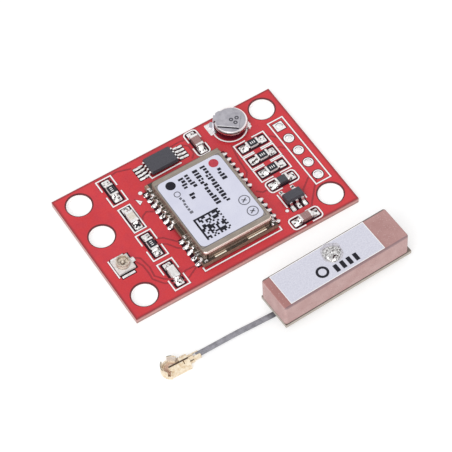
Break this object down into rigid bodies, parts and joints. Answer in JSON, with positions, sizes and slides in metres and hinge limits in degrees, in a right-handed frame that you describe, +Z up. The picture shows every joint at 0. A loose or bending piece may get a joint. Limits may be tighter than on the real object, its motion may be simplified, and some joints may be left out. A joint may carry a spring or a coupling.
{
  "type": "satellite positioning receiver board with antenna",
  "caption": "Small red positioning receiver board with a shielded radio module, backup cell and coaxial socket, and a ceramic block antenna on a short plug-in lead.",
  "frame": {"origin": "centre of the circuit board's underside, on the surface that the board, the antenna and the plug rest on", "axes": "+X along the board's long side towards the header holes, +Y towards the board's back edge and away from the antenna, +Z up"},
  "size_m": [0.0386, 0.036, 0.0063],
  "materials": {
    "solder_mask_red": "glossy red solder mask",
    "laminate_olive": "bare olive laminate",
    "shield_metal": "warm grey tinned sheet",
    "label_paper": "pale matt label",
    "chip_black": "dark slate moulding",
    "cell_steel": "satin steel",
    "tinned_metal": "bright tin",
    "capacitor_brown": "brown ceramic with tinned ends",
    "inductor_pale": "pale ceramic with tinned ends",
    "light_cream": "cream resin",
    "insulator_white": "white insulator",
    "contact_gold": "pale gold plating",
    "antenna_ceramic_pink": "unglazed dusty pink ceramic",
    "electrode_silver": "fired pale silver",
    "cable_grey": "grey sheath"
  },
  "bodies": {
    "root": {"circuit_board": "solder_mask_red", "receiver_carrier_board": "laminate_olive", "receiver_shield_can": "shield_metal", "receiver_label": "label_paper", "receiver_chip": "chip_black", "reference_crystal": "cell_steel", "band_filter": "inductor_pale", "backup_cell": "cell_steel", "backup_cell_top_tab": "tinned_metal", "backup_cell_bottom_tab": "tinned_metal", "memory_chip": "chip_black", "voltage_regulator": "chip_black", "resistor_1": "chip_black", "resistor_2": "chip_black", "resistor_3": "chip_black", "resistor_4": "chip_black", "resistor_5": "chip_black", "ferrite_bead": "chip_black", "capacitor_1": "capacitor_brown", "capacitor_2": "capacitor_brown", "feed_inductor": "inductor_pale", "status_light": "light_cream", "coax_socket_base": "insulator_white", "coax_socket_ring": "contact_gold", "coax_socket_pin": "contact_gold", "antenna_ceramic": "antenna_ceramic_pink", "antenna_electrode": "electrode_silver", "antenna_feed_pin": "tinned_metal", "antenna_base_board": "laminate_olive", "antenna_shield_can": "shield_metal", "antenna_amplifier": "chip_black", "pigtail_cable": "cable_grey", "plug_shell": "contact_gold", "plug_insulator": "insulator_white", "plug_contact": "contact_gold"}
  },
  "joints": []
}
